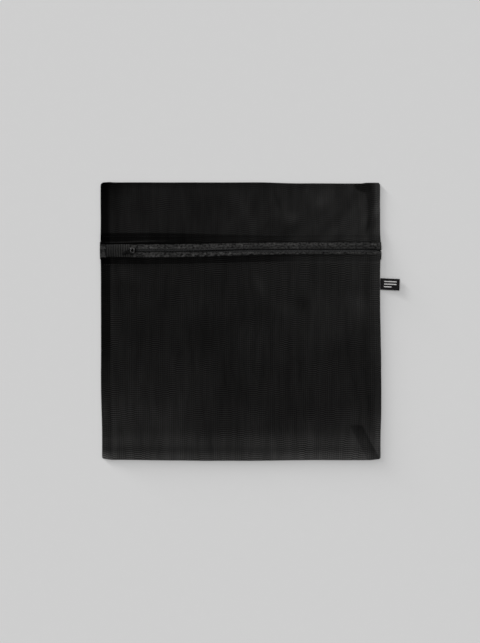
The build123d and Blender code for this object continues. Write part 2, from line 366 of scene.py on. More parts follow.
# ---------------- materials

class Paint:
    """A node material being put together."""

    def __init__(self, name):
        self.material = bpy.data.materials.new(name)
        self.material.use_nodes = True
        self.tree = self.material.node_tree
        self.tree.nodes.clear()
        self.shader = self.add("ShaderNodeBsdfPrincipled")
        out = self.add("ShaderNodeOutputMaterial")
        self.tree.links.new(self.shader.outputs[0], out.inputs["Surface"])

    def add(self, kind, inputs=None, **settings):
        node = self.tree.nodes.new(kind)
        for key, value in settings.items():
            setattr(node, key, value)
        for key, value in (inputs or {}).items():
            self.feed(node.inputs[key], value)
        return node

    def feed(self, socket, value):
        if isinstance(value, bpy.types.NodeSocket):
            self.tree.links.new(value, socket)
        else:
            socket.default_value = value

    def set(self, **values):
        for key, value in values.items():
            self.feed(self.shader.inputs[key.replace("_", " ")], value)

    def maths(self, kind, a, b=0.0, c=0.0):
        node = self.add("ShaderNodeMath", {0: a, 1: b, 2: c}, operation=kind)
        return node.outputs[0]

    def times(self, a, b):
        return self.maths("MULTIPLY", a, b)

    def plus(self, a, b):
        return self.maths("ADD", a, b)

    def wave(self, value, pitch, shift=0.0):
        """Cosine of a coordinate in metres, one turn in each pitch in millimetres."""
        turn = self.maths("MULTIPLY_ADD", value, TAU / (pitch * MM), shift)
        return self.maths("COSINE", turn)

    def split(self, vector):
        node = self.add("ShaderNodeSeparateXYZ", {0: vector})
        return node.outputs[0], node.outputs[1], node.outputs[2]

    def cloth_uv(self):
        """The flat cut's own coordinates, in metres."""
        return self.add("ShaderNodeUVMap", uv_map="cloth").outputs[0]

    def tone(self):
        """Brightness painted on the piece's points."""
        return self.add("ShaderNodeAttribute", attribute_name="tone").outputs["Fac"]

    def noise(self, vector, scale, detail=2.0, stretch=(1, 1, 1)):
        mapped = self.add("ShaderNodeMapping", {"Vector": vector})
        mapped.inputs["Scale"].default_value = stretch
        sockets = {"Vector": mapped.outputs[0], "Scale": scale, "Detail": detail}
        return self.add("ShaderNodeTexNoise", sockets).outputs[0]

    def place(self):
        return self.add("ShaderNodeTexCoord").outputs["Object"]

    def remap(self, value, a, b, c, d):
        node = self.add("ShaderNodeMapRange", {"Value": value, 1: a, 2: b, 3: c, 4: d})
        return node.outputs[0]

    def grey(self, value, tint=WHITE):
        """Colour of a brightness with a slight tint."""
        node = self.add("ShaderNodeCombineColor")
        for n, share in enumerate(tint):
            self.feed(node.inputs[n], self.times(value, share))
        return node.outputs[0]

    def bump(self, height, distance):
        """Relief of some millimetres' height."""
        node = self.add("ShaderNodeBump", {"Height": height, "Strength": 1.0})
        node.inputs["Distance"].default_value = distance * MM
        self.feed(self.shader.inputs["Normal"], node.outputs[0])


def mesh_material(name, base, openness, columns=1.1, see_through=True):
    """Black warp-knitted mesh: staggered holes, rows of thicker knots, faint streaks."""
    p = Paint(name)
    uv = p.cloth_uv()
    u, v, _ = p.split(uv)
    lattice = p.times(p.wave(u, columns), p.wave(v, HOLE_ROWS))
    drift = p.noise(uv, 1.0, 2.0, (20, 9, 1))
    gate = p.wave(u, 23.0, p.times(drift, 15.0))
    knots = p.times(p.wave(v, 3.0), p.remap(gate, -0.3, 0.3, -1.0, 1.0))
    patches = p.noise(uv, 1.0, 2.0, (30, 17, 1))
    cords = p.times(p.wave(u, 3.15), p.remap(patches, 0.4, 0.6, 0.2, 1.0))
    knots = p.times(knots, p.remap(patches, 0.4, 0.6, 1.0, 0.4))
    uneven = p.noise(uv, 1.0, 1.0, (95, 21, 1))
    knots = p.times(knots, p.remap(uneven, 0.32, 0.68, 0.35, 1.5))
    streaks = p.noise(uv, 1.0, 3.0, (110, 14, 1))
    hole = p.maths("GREATER_THAN", lattice, openness)
    worn = p.noise(p.place(), 13.0, 4.0)
    tone = p.tone()
    shade = p.times(tone, p.remap(worn, 0.3, 0.7, 0.82, 1.18))
    shade = p.times(shade, p.remap(streaks, 0.3, 0.7, 0.85, 1.16))
    seams = p.remap(p.maths("ABSOLUTE", gate), 0.0, 0.45, -0.12, 0.0)
    knitted = p.plus(p.plus(p.times(knots, 0.72), p.times(cords, 0.26)), seams)
    knitted = p.times(knitted, p.remap(v, 0.09, 0.12, 0.88, 0.52))
    shade = p.times(shade, p.maths("MAXIMUM", p.plus(knitted, 1.0), 0.1))
    if see_through:
        p.set(Alpha=p.maths("SUBTRACT", 1.0, hole))
    else:
        shade = p.times(shade, p.maths("MULTIPLY_ADD", hole, -0.7, 1.0))
    p.set(Base_Color=p.grey(p.times(shade, base), WARM))
    p.set(Roughness=0.62, Specular_IOR_Level=p.times(shade, 0.02))
    p.bump(p.times(lattice, -1.0), 0.1)
    return p.material


def tape_material(name, base):
    """Woven polyester tape: fine warp ribs with a herringbone and light flecks."""
    p = Paint(name)
    uv = p.cloth_uv()
    u, v, _ = p.split(uv)
    rib = p.wave(v, 0.62)
    weft = p.wave(p.plus(u, p.times(v, 0.6)), 0.9)
    weave = p.maths("MULTIPLY_ADD", p.times(rib, weft), 0.5, 0.5)
    fade = p.noise(p.place(), 70.0, 4.0)
    fleck = p.noise(uv, 1.0, 3.0, (300, 420, 1))
    tone = p.tone()
    shade = p.times(p.maths("MULTIPLY_ADD", weave, 0.5, 0.75), p.remap(fade, 0.3, 0.7, 0.75, 1.25))
    shade = p.times(shade, p.remap(fleck, 0.34, 0.66, 0.05, 2.0))
    shade = p.times(shade, tone)
    p.set(Base_Color=p.grey(p.times(shade, base), WARM), Roughness=0.7)
    p.set(Specular_IOR_Level=0.12)
    p.bump(weave, 0.08)
    return p.material


def thread_material(name, base, twist=0.5, toned=False):
    """Sewing thread: two twisted plies with a little shine."""
    p = Paint(name)
    u, v, _ = p.split(p.cloth_uv())
    ply = p.wave(p.plus(u, p.times(v, 0.4)), twist)
    fade = p.noise(p.place(), 130.0, 3.0)
    shade = p.times(p.maths("MULTIPLY_ADD", ply, 0.18, 0.95), p.remap(fade, 0.3, 0.7, 0.75, 1.25))
    if toned:
        shade = p.times(shade, p.tone())
    p.set(Base_Color=p.grey(p.times(shade, base), WARM), Roughness=0.5)
    p.set(Specular_IOR_Level=p.times(shade, 0.1))
    p.bump(ply, 0.04)
    return p.material


def coil_material():
    """Nylon monofilament: smooth, a little glossy, faintly uneven along its length."""
    p = Paint("coil_nylon")
    fade = p.noise(p.place(), 220.0, 3.0)
    # The tone carries the chain's painted shade and painted light, here into the colour and the gloss.
    tone = p.tone()
    shade = p.times(tone, p.remap(fade, 0.3, 0.7, 0.017, 0.028))
    p.set(Base_Color=p.grey(shade, (1.0, 1.0, 1.02)), Roughness=p.remap(fade, 0.3, 0.7, 0.34, 0.46))
    p.set(Specular_IOR_Level=p.times(tone, 0.25))
    return p.material


def elastic_material():
    """Ribbed elastic: covered rubber cords with a fine cross weave."""
    p = Paint("ribbed_elastic")
    u, v, _ = p.split(p.cloth_uv())
    rib = p.wave(u, 3.4)
    weft = p.wave(p.plus(v, p.times(u, 0.15)), 0.7)
    fine = p.wave(u, 0.57)
    fleck = p.noise(p.cloth_uv(), 1.0, 2.0, (800, 500, 1))
    shade = p.maths("MULTIPLY_ADD", rib, 0.55, 0.85)
    shade = p.times(shade, p.maths("MULTIPLY_ADD", p.times(weft, fine), 0.2, 1.0))
    shade = p.times(shade, p.remap(fleck, 0.3, 0.7, 0.7, 1.3))
    x, y, _ = p.split(p.place())
    # Painted light on the band's lower half, which slopes away from the lamps.
    shade = p.times(shade, p.remap(y, 0.0935, 0.1, 1.7, 1.0))
    # Painted shade on the band's left end, where it bends down towards the lamps; painted light on the
    # rest.
    shade = p.times(shade, p.remap(x, -0.183, -0.178, 0.42, 0.9))
    shade = p.times(shade, p.remap(x, -0.178, -0.164, 1.0, 1.33))
    p.set(Base_Color=p.grey(p.times(shade, 0.0140), (1.0, 0.985, 0.96)), Roughness=0.75)
    p.set(Specular_IOR_Level=0.1)
    p.bump(p.times(weft, fine), 0.06)
    return p.material


def metal_material(name, base, roughness, specular, rim=None):
    """Black coated die-cast metal: orange peel, worn patches and, where rim is given, a painted
    highlight ring with painted shade inside and outside it.
    """
    p = Paint(name)
    place = p.place()
    peel = p.noise(place, 1500.0, 2.0)
    wear = p.noise(place, 320.0, 5.0)
    shade = p.remap(wear, 0.35, 0.75, base * 0.8, base * 1.7)
    # Painted highlight ring about the rim point, painted shade in its middle under the bail and round
    # its outside; the gloss follows it.
    if rim:
        x, y, _ = p.split(place)
        across = p.times(p.plus(x, -rim[0] * MM), 1 / (2.7 * MM))
        down = p.times(p.plus(y, -rim[1] * MM), 1 / (3.6 * MM))
        square = p.plus(p.maths("POWER", p.maths("ABSOLUTE", across), 4.0),
                        p.maths("POWER", p.maths("ABSOLUTE", down), 4.0))
        edge = p.times(p.remap(square, 0.08, 0.4, 0.12, 3.6), p.remap(square, 1.3, 2.4, 1.0, 0.06))
        shade = p.times(shade, edge)
    p.set(Base_Color=p.grey(shade, (1.0, 0.98, 0.96)))
    p.set(Roughness=p.remap(wear, 0.3, 0.7, roughness - 0.06, roughness + 0.1))
    p.set(Specular_IOR_Level=p.times(shade, specular / base))
    p.bump(peel, 0.02)
    return p.material


def satin_material(name, base, specular):
    """Satin ribbon: long floats across the ribbon with a soft sheen."""
    p = Paint(name)
    u, v, _ = p.split(p.cloth_uv())
    floats = p.times(p.wave(u, 0.36), p.wave(v, 1.1))
    fleck = p.noise(p.cloth_uv(), 1.0, 2.0, (1500, 260, 1))
    shade = p.times(p.maths("MULTIPLY_ADD", floats, 0.12, 1.0), p.remap(fleck, 0.3, 0.7, 0.85, 1.15))
    p.set(Base_Color=p.grey(p.times(shade, base), (1.0, 0.99, 0.98)), Roughness=0.42)
    p.set(Specular_IOR_Level=specular)
    p.bump(floats, 0.03)
    return p.material


def floor_material():
    """Plain pale matt floor."""
    p = Paint("pale_floor")
    grain = p.noise(p.place(), 60.0, 2.0)
    p.set(Base_Color=p.grey(p.remap(grain, 0.3, 0.7, 0.778, 0.782)), Roughness=0.9)
    p.set(Specular_IOR_Level=0.1)
    return p.material


# ---------------- tone of the mesh

def bump_at(value, middle, width):
    """Soft bump of height 1 about a middle."""
    return math.exp(-((value - middle) / width) ** 2)


def cloth_tone(x, y):
    """Brightness of the mesh: deep black at the left seam, painted shade at the top edge and top left,
    and painted sheen lighter towards the right and bottom edges.
    """
    u = clamp((x + HALF) / (2 * HALF))
    v = clamp((HALF - y) / (2 * HALF))
    tone = 0.95 + 0.95 * u ** 2.4 * (1 - 0.85 * smooth((v - 0.4) / 0.25))
    tone += 0.75 * (1 - u) ** 2 * smooth((v - 0.6) / 0.25) * smooth((0.97 - v) / 0.05)
    tone += 0.9 * u ** 3 * smooth((v - 0.78) / 0.14)
    tone += 1.1 * smooth((v - 0.88) / 0.07) + 3.0 * smooth((v - 0.955) / 0.045)
    tone += 2.2 * smooth((v - 0.965) / 0.03) * smooth((0.06 - u) / 0.05)
    tone *= 1 - (0.4 - 0.3 * u) * smooth((0.03 - v) / 0.025)
    tone *= 1 + 0.75 * smooth((x - 185) / 11) * smooth((y + 196) / 20)
    tone *= 1 - 0.4 * smooth((-150 - x) / 42) * smooth((y - 70) / 30)
    seam = smooth((-184 - x) / (3 + 5 * smooth((y - 100) / 60)))
    seam *= 0.55 * smooth((y + 200) / 10) + 0.45 * smooth((y + 95) / 80)
    return max(0.05, tone * (1 - 0.66 * seam))


def smoke(x, y):
    """Soft slanting patches where the loose upper sheet catches the light."""
    along = (x + y) * 0.7
    across = (x - y) * 0.7
    return 1 + 0.34 * rough(along / 3.2, across, 17, 31) * smooth((x + 60) / 120)


# Middle, half width, half height and strength of each patch.
SOFT_LIGHTS = (
    (28, 51, 7, 13, 0.5), (-160, 66, 24, 12, 0.3), (110, 176, 16, 12, 0.35),
    (72, 148, 14, 9, 0.4), (5, 160, 9, 22, 0.35), (62, 20, 10, 12, 0.35),
    (-92, -60, 45, 38, 0.2), (-118, -140, 40, 22, 0.25), (-30, -20, 40, 60, -0.08),
    (88, 28, 12, 12, -0.25), (52, 176, 3, 26, -0.25), (-70, 172, 12, 34, -0.2),
    (172, 24, 12, 16, 0.25), (150, -110, 14, 40, 0.15), (-176, 190, 18, 10, -0.25))


def soft_lights(x, y):
    """Broad light and dark patches of the slack cloth."""
    total = 1.0
    for middle_x, middle_y, wide, high, strength in SOFT_LIGHTS:
        across = bump_at(x + 0.35 * (y - middle_y), middle_x, wide)
        total += strength * across * bump_at(y, middle_y, high)
    return total


def hem_tone(x, y):
    """Turned edges look darker through two layers, most of all towards the left; painted shadow lines
    and a painted highlight lie along the mouth edges and the upper hem.
    """
    fade = smooth((x + 130) / 190)
    low = smooth((y - 81.2) / 0.8) * smooth((LOWER_EDGE + 0.4 - y) / 0.8)
    tone = 1 - (0.55 - 0.45 * smooth((x - 35) / 60)) * low
    tone *= 1 + 0.5 * bump_at(y, 80.9, 0.9) * smooth((x - 45) / 30)
    # Painted shadow line just below the mouth's lower edge.
    tone *= 1 - 0.35 * bump_at(y, 91.0, 1.0) * smooth((x - 30) / 20) * smooth((150 - x) / 30)
    if y < UPPER_EDGE - 1:
        return tone
    # Painted fold shadow over the upper hem band, wider towards the left.
    top = 127.5 - 5.3 * fade
    band = smooth((top - y) / 1.2)
    tone *= 1 - (0.66 - 0.36 * fade - 0.22 * smooth((x - 40) / 40)) * band
    # Painted highlight along the upper hem's fold edge at the left.
    crease = 113.5 + 1.7 * smooth((x + 172) / 40)
    tone *= 1 + 3.4 * bump_at(y, crease, 0.8) * smooth((-90 - x) / 60)
    # Painted shadow line just above the upper tape at the left.
    return tone * (1 - 0.5 * smooth((112.6 - y) / 0.8) * smooth((-20 - x) / 60))


def pleat_edges(y):
    """Left and right edges of the crescent of slack cloth at the top right corner."""
    bow = 0.0029 if y < 163 else 0.0085
    return 183.8 - bow * (y - 163) ** 2 - 10 * smooth((y - 185) / 6), 193 - 0.0029 * (190 - y) ** 2


def front_tone(x, y):
    """Brightness of the upper faces, with what shows through from inside and the painted light and
    shade of their folds and edges.
    """
    tone = cloth_tone(x, y) * soft_lights(x, y)
    if y < 80:
        tone *= 1 + 0.35 * bump_at(x, -185.6, 0.9) * smooth((y + 40) / 30)
        tone *= 1 + 0.3 * bump_at(x, 186.6, 0.9) * smooth((y + 190) / 20)
        # The corner tail inside shows through as a darker patch, painted on the front sheet as its
        # shade.
        share = (-147.7 - y) / 46.0
        across = (x - 164.2 - 23.0 * share) / 8.6
        inside = smooth(share * 18) * smooth((across + 1.1) * 5) * smooth((1.1 - across) * 8)
        return tone * (1 - (0.4 + 0.12 * across) * inside)
    tone *= hem_tone(x, y)
    if y > UPPER_EDGE:
        tone *= smoke(x, y)
        # Painted shade in the crescent fold at the top right, deepest at its inner edge, and painted
        # sheen on the strip along the right edge.
        inner, outer = pleat_edges(y)
        pleat = smooth((x - inner) / 1.6 + 0.5) * smooth((outer - x) / 1.6 + 0.5)
        pleat *= smooth((y - 120) / 10)
        tone *= 1 - (0.28 + 0.24 * smooth((y - 183) / 5) * smooth((192 - x) / 8)) * pleat
        tone *= 1 - 0.22 * bump_at(x, inner, 1.1) * smooth((y - 120) / 8)
        strip = smooth((x - 192) / 2.5) * smooth((y - 112) / 30) * smooth((200.5 - y) / 3)
        tone *= 1 + 0.45 * strip * (1 - pleat)
    return max(0.05, tone)


MESH_FRONT = mesh_material("mesh_front", 0.0116, 0.42)
MESH_BACK = mesh_material("mesh_back", 0.0110, 0.42, 1.2, False)
# The inside layers take a darker copy of the mesh: painted shade inside the bag.
MESH_INNER = mesh_material("mesh_inner", 0.0030, 0.62, 1.14)
TAPE = tape_material("zip_tape", 0.036)
COIL = coil_material()
THREAD = thread_material("sewing_thread", 0.022, 0.5, True)
THREAD_DARK = thread_material("overlock_thread", 0.012, 0.6)
THREAD_TACK = thread_material("tack_thread", 0.0012, 0.5)
ELASTIC = elastic_material()
# The slider's coating takes the painted highlight ring and painted shade about this point.
SLIDER_METAL = metal_material("slider_coating", 0.014, 0.38, 0.12, (-155.2, 102.3))
PULL_METAL = metal_material("pull_coating", 0.0038, 0.5, 0.03)
SATIN = satin_material("label_satin", 0.0062, 0.12)
SATIN_WHITE = satin_material("label_white", 0.62, 0.2)


def dress(obj, material, body, replaces):
    """Material, body if it rides one, and the CAD nodes a piece stands for."""
    obj.data.materials.clear()
    obj.data.materials.append(material)
    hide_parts(*replaces)
    if body:
        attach(obj, body)
    return obj


SIDES = ((-1, "left"), (1, "right"))


def halves(name, make, material, replaces):
    """Left and right halves of a mouth edge."""
    for side, word in SIDES:
        obj = make(name + "_" + word, side)
        dress(obj, material, None, replaces)
        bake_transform(obj)


# ---------------- mesh sheets

STEP = 2.5


def back_z(x, y):
    """Middle of the back sheet: flat on the floor, turned up into the seams."""
    edge = min(HALF - abs(x), HALF - abs(y))
    return 0.26 + 0.42 * (1 - smooth(edge / 1.2))


def with_border(values, *extra):
    return sorted(set(values) | set(extra))


back_grid = with_border(spread(-HALF, HALF, STEP), -199.4, -198.6, 198.6, 199.4)
back_sheet = cloth("back_sheet", back_grid, back_grid, back_z, SHEET_THICK, cloth_tone)
dress(back_sheet, MESH_BACK, "bag", ["back_panel"])


def front_rolled_z(x, y):
    """Front sheet, rolled down to the seams at its very edge."""
    edge = min(HALF - abs(x), y + HALF)
    z = front_z(x, y)
    return z - (z - SEAM_Z) * (1 - smooth(edge / ROLL)) if edge < ROLL else z


ys_front = with_border(spread(-HALF, -140, 1.25), -199.7, -199.3, -198.6, 91.6,
                       *spread(-140, 78, STEP), *spread(80, LOWER_EDGE, 0.75))
xs_front = with_border(spread(-180, 150, STEP), -199.7, -199.3, -198.6, 198.6, 199.3, 199.7,
                       *spread(-HALF, -180, 1.0), *spread(150, HALF, 1.25))
front_sheet = cloth("front_sheet", xs_front, ys_front, front_rolled_z, SHEET_THICK, front_tone)
dress(front_sheet, MESH_FRONT, "bag", ["front_panel"])


def upper_rolled_z(x, y):
    """Upper sheet, rolled down at the top fold and the side seams."""
    z = upper_z(x, y)
    side = HALF - abs(x)
    if side < ROLL:
        z -= (z - SEAM_Z) * (1 - smooth(side / ROLL))
    over = clamp((y - 198.2) / 1.3)
    return z - (z - SEAM_Z) * over * over


def half_range(side, outer, step=STEP):
    return spread(-outer, 0, step) if side < 0 else spread(0, outer, step)


def make_upper(name, side):
    xs = with_border(half_range(side, HALF), side * 198.6, side * 199.3, side * 199.7)
    if side > 0:
        xs = with_border(xs, *spread(160, HALF, 1.25))
    ys = with_border(spread(UPPER_EDGE, 130, 0.75), 198.2, 198.7, 199.1, *spread(130, 199.5, 1.8))
    return cloth(name, xs, ys, upper_rolled_z, SHEET_THICK, front_tone)


halves("upper_sheet", make_upper, MESH_FRONT, ["flap_panel", "upper_panel_ends"])


# ---------------- turned hems

def lower_hem_z(x, y):
    return front_z(x, y) - HEM_GAP + 0.08 * smooth((LOWER_EDGE - y) / HEM)


def upper_hem_z(x, y):
    return upper_z(x, y) - HEM_GAP


lower_hem = cloth("lower_hem_layer", spread(-199.2, 199.2, 3.0),
                  spread(LOWER_EDGE - HEM, LOWER_EDGE - 0.1, 1.1), lower_hem_z, HEM_THICK, cloth_tone)
dress(lower_hem, MESH_INNER, "bag", ["lower_hem"])


def make_upper_hem(name, side):
    ys = spread(UPPER_EDGE + 0.1, UPPER_EDGE + HEM, 1.1)
    return cloth(name, half_range(side, 199.2, 3.0), ys, upper_hem_z, HEM_THICK, cloth_tone)


halves("upper_hem_layer", make_upper_hem, MESH_INNER, ["upper_hem", "upper_hem_ends"])


# ---------------- side seams

def allowance(name, side):
    """Two plies of cut edge lying inside along a side seam."""
    inner = side * (HALF - ALLOWANCE)
    outer = side * (HALF - 0.5)
    xs = spread(min(inner, outer), max(inner, outer), 1.5)
    ys = spread(-198.6, 198.4, 4.0)

    def place(x, y):
        ragged = clamp((HALF - abs(x)) / ALLOWANCE) ** 2 * 0.9 * rough(y, 0, 26, 11 + side)
        wx, wy = warp(x, y)
        return wx + ragged, wy

    plies = []
    for n in range(2):
        def height(x, y, n=n):
            return 0.7 + 0.3 * n + 0.05 * rough(x, y, 9, 12 + n)
        plies.append(cloth(name + str(n), xs, ys, height, 0.17, cloth_tone, place))
    bpy.ops.object.select_all(action="DESELECT")
    for ply in plies:
        ply.select_set(True)
    bpy.context.view_layer.objects.active = plies[0]
    bpy.ops.object.join()
    plies[0].name = name
    plies[0].data.name = name
    return plies[0]


def overlock(name, side):
    """Looped thread over the allowance's cut edge."""
    path = []
    inner = side * (HALF - ALLOWANCE)
    pitch = 2.6
    for n in range(int(394 / pitch) * 4):
        y = -197 + pitch * n / 4
        swing = (0.0, 1.0, 1.0, 0.0)[n % 4]
        z = (1.15, 1.2, 0.62, 0.6)[n % 4] + 0.03 * rough(y, 0, 5, 13)
        ragged = 0.9 * rough(y, 0, 26, 11 + side)
        wx, wy = warp(inner - side * (0.5 - 2.6 * swing), y)
        path.append((wx + ragged, wy, z))
    return wires(name, [path], 0.14, 5)


for side, word in SIDES:
    piece = allowance(word + "_allowance", side)
    dress(piece, MESH_INNER, "bag", [word + "_seam_allowance"])
    piece = overlock(word + "_overlock", side)
    dress(piece, THREAD_DARK, "bag", [word + "_seam_thread"])


def corner_tail():
    """Loose end of the right allowance, folded up inside the bottom corner."""
    top = Vector((164.2, -147.7))
    bottom = Vector((186.0, -192.6))
    half = 8.5
    length = 50

    def place(s, t):
        middle = top.lerp(bottom, s)
        x = middle.x + t * half + 0.5 * rough(s * length, t, 14, 14)
        z = 1.5 + 0.25 * math.cos(t * 2.2) + 0.1 * rough(s * length, t * 8, 12, 15)
        return (x, middle.y, z), (t * half, s * length)

    return strip("corner_tail", spread(0, 1, 1 / 22)[::-1], spread(-1, 1, 1 / 6), place, 0.3, 1.3)


dress(corner_tail(), MESH_INNER, "bag", ["corner_seam_tail"])


# ---------------- zip tapes

def ruffle(x, y):
    """Slanting puckers of the lower tape, from -1 to 1."""
    length = 12.5 * (1 + 0.14 * rough(x, 0, 60, 16))
    return math.sin(TAU * (x - 0.9 * (y - CHAIN_Y)) / length + 1.6 * rough(x, 0, 33, 27))


def ruffle_share(x, y):
    away = CHAIN_Y - y
    along = 0.35 + 0.65 * smooth((x + 120) / 90)
    return along * smooth((away - 4.4) / 2.0) * smooth((LEVEL_HALF - abs(x)) / 6)


def tape_z(x, y):
    """Middle of the tapes."""
    z = TAPE_MIDDLE_Z - drop(x)
    away = abs(y - CHAIN_Y)
    if y < CHAIN_Y:
        return z + 0.42 * (ruffle(x, y) - 0.4) * ruffle_share(x, y) * smooth((10.4 - away) / 1.6)
    return z + 0.12 * math.sin(TAU * x / 13) * smooth((away - 3.2) / 2) * smooth((8.6 - away) / 2)


def ride(x):
    """How far the painted shade and light lines of the zip have crept up towards the label."""
    return 3.4 * smooth((x + 130) / 220)


def chain_tone(x, y):
    """Painted shade in the gaps beside the chain: both fine at the left, the lower one deep at the
    right, where the tape below is painted lighter.
    """
    y -= ride(x)
    right = smooth((x + 110) / 100)
    above = (0.66 - 0.3 * right) * bump_at(y, 103.3 + 0.7 * right, 0.75)
    below = (0.72 + 0.27 * right) * bump_at(y, 100.2 + 0.7 * bump_at(x, 8, 32), 0.75 + 0.5 * right)
    lit = 1 + 0.45 * right * smooth((99.5 - y) / 0.8)
    return (1 - above) * (1 - below) * lit * (1 - 0.45 * smooth((-190 - x) / 4))


def tape_tone(x, y):
    """Tapes carry the chain's painted shade and light, painted light and shade beside the chain,
    painted shade in their puckers and under the hem edges, and the parked slider's painted shadow.
    """
    tone = (0.95 + 0.1 * smooth((x + 60) / 60) + 0.25 * rough(x, y, 16, 28)) * chain_tone(x, y)
    y -= ride(x)
    away = abs(y - CHAIN_Y)
    right = smooth((x + 60) / 60)
    # Painted shadow of the parked slider on the tapes, below and above the chain.
    tone *= 1 - 0.75 * bump_at(x, -157, 4.5) * bump_at(y, 96.4, 1.7)
    tone *= 1 - 0.8 * bump_at(x, -157, 1.6) * bump_at(y, 108.2, 1.7)
    if y < CHAIN_Y:
        # Painted shade in the puckers' dips and where the lower tape runs under the hem.
        dips = smooth((0.25 - ruffle(x, y)) / 0.9) * smooth((away - 4.0 - 1.3 * right) / 2.5)
        tone *= 1 - (0.75 - 0.3 * right) * ruffle_share(x, y) * dips
        tone *= 1 - 0.5 * right * smooth((away - 6.8) / 1.4)
        return tone * (1 - 0.55 * smooth((away - 8.6) / 1.6))
    # Upper tape: painted light across its middle, painted shade by the chain and, at the left, under
    # the hem.
    tone *= 1 + 0.25 * right * smooth((away - 6) / 2) - 0.3 * right * smooth((5 - away) / 2)
    return tone * (1 - 0.6 * smooth((away - 8.2) / 1.2) * (1 - right))


def tape_lie(x, y):
    """The tapes lie straight; their inner edges are sewn together at the left end."""
    gap = CHAIN_Y - y
    meet = 0.85 * smooth((-191 - x) / 3) * smooth((4 - abs(gap)) / 3.1)
    return warp(x, y)[0], y + math.copysign(meet, gap)


lower_tape = cloth("lower_zip_tape", spread(-TAPE_REACH, TAPE_REACH, 1.2),
                   spread(CHAIN_Y - TAPE_EDGE, CHAIN_Y - TAPE_INNER, 0.83), tape_z,
                   TAPE_THICK, tape_tone, tape_lie)
dress(lower_tape, TAPE, "bag", ["lower_tape"])


def make_upper_tape(name, side):
    ys = spread(CHAIN_Y + TAPE_INNER, CHAIN_Y + TAPE_EDGE, 0.97)
    return cloth(name, half_range(side, TAPE_REACH, 1.5), ys, tape_z, TAPE_THICK, tape_tone, tape_lie)


halves("upper_zip_tape", make_upper_tape, TAPE, ["upper_tape", "upper_tape_ends"])


# ---------------- coils

def coil(name, x0, x1, side):
    """Monofilament wound in flattened turns whose heads mesh with the other side's."""
    path = []
    steps = 12
    shift = 0.0 if side < 0 else COIL_PITCH / 2
    first = math.ceil((x0 - shift) / COIL_PITCH)
    last = math.floor((x1 - shift) / COIL_PITCH)
    for n in range((last - first) * steps + 1):
        turn = TAU * (n % steps) / steps
        x = (first + n / steps) * COIL_PITCH + shift
        parted = 1.3 * smooth((PARTED_X + 1.2 - x) / 2.2)
        reach = 0.95 + 1.25 * math.cos(turn) * (1.0 + 0.06 * math.cos(2 * turn))
        z = 6.4 + 0.58 * math.sin(turn) - drop(x)
        path.append((x, CHAIN_Y + side * (reach + parted), z))
    return wires(name, [path], 0.27, 6, chain_tone)


def make_upper_coil(name, side):
    return coil(name, -197, -0.05, 1) if side < 0 else coil(name, 0.0, 196.5, 1)


dress(coil("lower_coil_wire", -197, 196.5, -1), COIL, "bag", ["lower_coil"])
halves("upper_coil_wire", make_upper_coil, COIL, ["upper_coil", "upper_coil_ends"])


# ---------------- stitch rows

def stitch_tone(x, y):
    """The row at the lower hem's inner edge is lighter; the row at the upper hem's inner edge is darker
    towards the left, with the hem's painted fold shadow; the rows by the mouth are dark.
    """
    if y < LOWER_EDGE - 6:
        return 0.8
    if y > UPPER_EDGE + 6:
        return 0.25 + 0.75 * smooth((x - 10) / 40)
    return 0.12


def stitches(name, x0, x1, rows, surface):
    """Rows of lockstitches pulled slightly into the cloth at their ends."""
    paths = []
    for y, seed in rows:
        for n in range(int((x1 - x0) / STITCH_PITCH)):
            left = x0 + (n + 0.5) * STITCH_PITCH - STITCH / 2 + 0.15 * rough(n * 3.7, y, 5, seed)
            path = []
            for s in (0.0, 0.12, 0.35, 0.65, 0.88, 1.0):
                x = left + s * STITCH
                yy = y + 0.12 * rough(x, y, 9, seed)
                lift = 0.33 * math.sin(math.pi * clamp(0.04 + s * 0.92)) ** 0.6 - 0.02
                wx, wy = warp(x, yy)
                path.append((wx, wy, surface(x, yy) + 0.08 + lift))
            paths.append(path)
    return wires(name, paths, lambda s: 0.22 * (0.55 + 0.45 * math.sin(math.pi * s)), 6, stitch_tone)


def make_upper_stitches(name, side):
    x0, x1 = (-196, -0.2) if side < 0 else (0.2, 196)
    rows = ((UPPER_EDGE + HEM - 0.4, 19), (UPPER_EDGE + 1.5, 20))
    return stitches(name, x0, x1, rows, upper_z)


lower_rows = ((LOWER_EDGE - HEM + 0.4, 17), (LOWER_EDGE - 1.5, 18))
lower_stitches = stitches("lower_hem_stitches", -196, 196, lower_rows, front_z)
dress(lower_stitches, THREAD, "bag", ["lower_hem_thread"])
halves("upper_hem_stitches", make_upper_stitches, THREAD,
       ["upper_hem_thread", "upper_hem_thread_ends"])


# ---------------- elastic and bar tacks

def elastic_band():
    """Ribbed elastic arched over the parted end of the chain."""
    def place(s, x):
        y = LOWER_EDGE + 0.2 + (UPPER_EDGE - LOWER_EDGE - 0.4) * s
        arch = math.sin(math.pi * s) ** 0.5 if 0 < s < 1 else 0.0
        rib = 0.17 * math.cos(TAU * x / 3.4) * (0.35 + 0.65 * arch)
        edge = 0.35 * rough(x, 0, 6, 21) * (1 - arch)
        z = 5.72 + 1.93 * arch + rib + 0.08 * rough(x, y, 8, 22) - drop(x)
        return (x + 0.25 * rough(y, 0, 7, 23), y + edge, z), (x, y)

    return strip("elastic_band", spread(0, 1, 1 / 26), spread(BAND_X0, BAND_X1, 0.42),
                 place, BAND_THICK)


dress(elastic_band(), ELASTIC, "bag", ["elastic_garage"])


